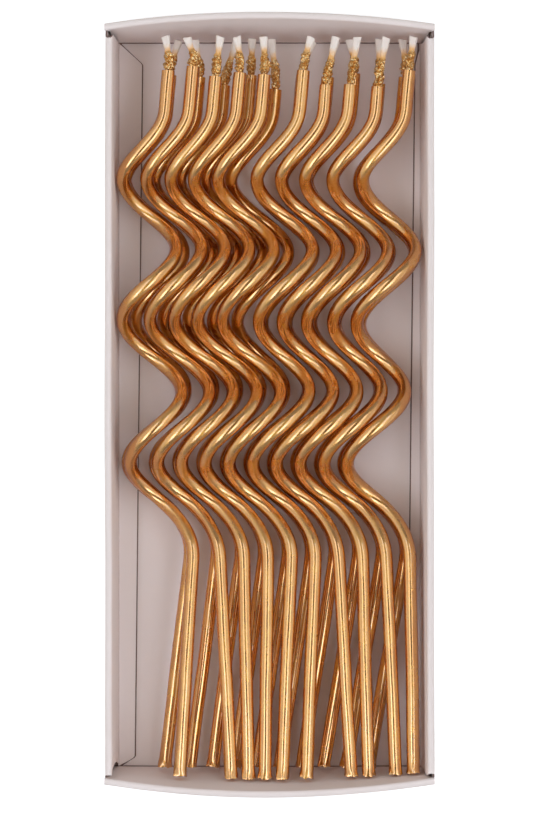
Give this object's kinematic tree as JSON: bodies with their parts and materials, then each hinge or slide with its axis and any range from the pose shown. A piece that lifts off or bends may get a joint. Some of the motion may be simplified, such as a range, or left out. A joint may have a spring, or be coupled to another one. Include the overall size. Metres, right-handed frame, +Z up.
{
  "type": "boxed spiral birthday candles",
  "caption": "Slim gold spiral birthday candles with white cotton wicks, nested in two layers in an open, pale pink folded-card tray; each candle lifts out.",
  "frame": {"origin": "middle of the tray's underside", "axes": "+Z up out of the tray's open face, +Y along the tray towards the wicks, +X to the right across it"},
  "size_m": [0.0794, 0.189, 0.0245],
  "materials": {
    "pink_card": "smooth, matt",
    "gold_wax": "metallic gold lacquer",
    "waxed_cotton": "waxed"
  },
  "bodies": {
    "tray": {"card_tray": "pink_card"},
    "rear_row": {"rear_candle_01_wax": "gold_wax", "rear_candle_01_wick": "waxed_cotton", "rear_candle_02_wax": "gold_wax", "rear_candle_02_wick": "waxed_cotton", "rear_candle_03_wax": "gold_wax", "rear_candle_03_wick": "waxed_cotton", "rear_candle_04_wax": "gold_wax", "rear_candle_04_wick": "waxed_cotton", "rear_candle_05_wax": "gold_wax", "rear_candle_05_wick": "waxed_cotton", "rear_candle_06_wax": "gold_wax", "rear_candle_06_wick": "waxed_cotton", "rear_candle_07_wax": "gold_wax", "rear_candle_07_wick": "waxed_cotton", "rear_candle_08_wax": "gold_wax", "rear_candle_08_wick": "waxed_cotton", "rear_candle_09_wax": "gold_wax", "rear_candle_09_wick": "waxed_cotton", "rear_candle_10_wax": "gold_wax", "rear_candle_10_wick": "waxed_cotton"},
    "front_candle_01": {"front_candle_01_wax": "gold_wax", "front_candle_01_wick": "waxed_cotton"},
    "front_candle_02": {"front_candle_02_wax": "gold_wax", "front_candle_02_wick": "waxed_cotton"},
    "front_candle_03": {"front_candle_03_wax": "gold_wax", "front_candle_03_wick": "waxed_cotton"},
    "front_candle_04": {"front_candle_04_wax": "gold_wax", "front_candle_04_wick": "waxed_cotton"},
    "front_candle_05": {"front_candle_05_wax": "gold_wax", "front_candle_05_wick": "waxed_cotton"},
    "front_candle_06": {"front_candle_06_wax": "gold_wax", "front_candle_06_wick": "waxed_cotton"},
    "front_candle_07": {"front_candle_07_wax": "gold_wax", "front_candle_07_wick": "waxed_cotton"},
    "front_candle_08": {"front_candle_08_wax": "gold_wax", "front_candle_08_wick": "waxed_cotton"},
    "front_candle_09": {"front_candle_09_wax": "gold_wax", "front_candle_09_wick": "waxed_cotton"},
    "front_candle_10": {"front_candle_10_wax": "gold_wax", "front_candle_10_wick": "waxed_cotton"}
  },
  "joints": [
    {"name": "rear_row_lift", "type": "slide", "parent": "tray", "child": "rear_row", "axis": [0, 0, 1], "range_m": [0, 0.05]},
    {"name": "front_candle_01_lift", "type": "slide", "parent": "rear_row", "child": "front_candle_01", "axis": [0, 0, 1], "range_m": [0, 0.045]},
    {"name": "front_candle_02_lift", "type": "slide", "parent": "rear_row", "child": "front_candle_02", "axis": [0, 0, 1], "range_m": [0, 0.045]},
    {"name": "front_candle_03_lift", "type": "slide", "parent": "rear_row", "child": "front_candle_03", "axis": [0, 0, 1], "range_m": [0, 0.045]},
    {"name": "front_candle_04_lift", "type": "slide", "parent": "rear_row", "child": "front_candle_04", "axis": [0, 0, 1], "range_m": [0, 0.045]},
    {"name": "front_candle_05_lift", "type": "slide", "parent": "rear_row", "child": "front_candle_05", "axis": [0, 0, 1], "range_m": [0, 0.045]},
    {"name": "front_candle_06_lift", "type": "slide", "parent": "rear_row", "child": "front_candle_06", "axis": [0, 0, 1], "range_m": [0, 0.045]},
    {"name": "front_candle_07_lift", "type": "slide", "parent": "rear_row", "child": "front_candle_07", "axis": [0, 0, 1], "range_m": [0, 0.045]},
    {"name": "front_candle_08_lift", "type": "slide", "parent": "rear_row", "child": "front_candle_08", "axis": [0, 0, 1], "range_m": [0, 0.045]},
    {"name": "front_candle_09_lift", "type": "slide", "parent": "rear_row", "child": "front_candle_09", "axis": [0, 0, 1], "range_m": [0, 0.045]},
    {"name": "front_candle_10_lift", "type": "slide", "parent": "rear_row", "child": "front_candle_10", "axis": [0, 0, 1], "range_m": [0, 0.045]}
  ]
}
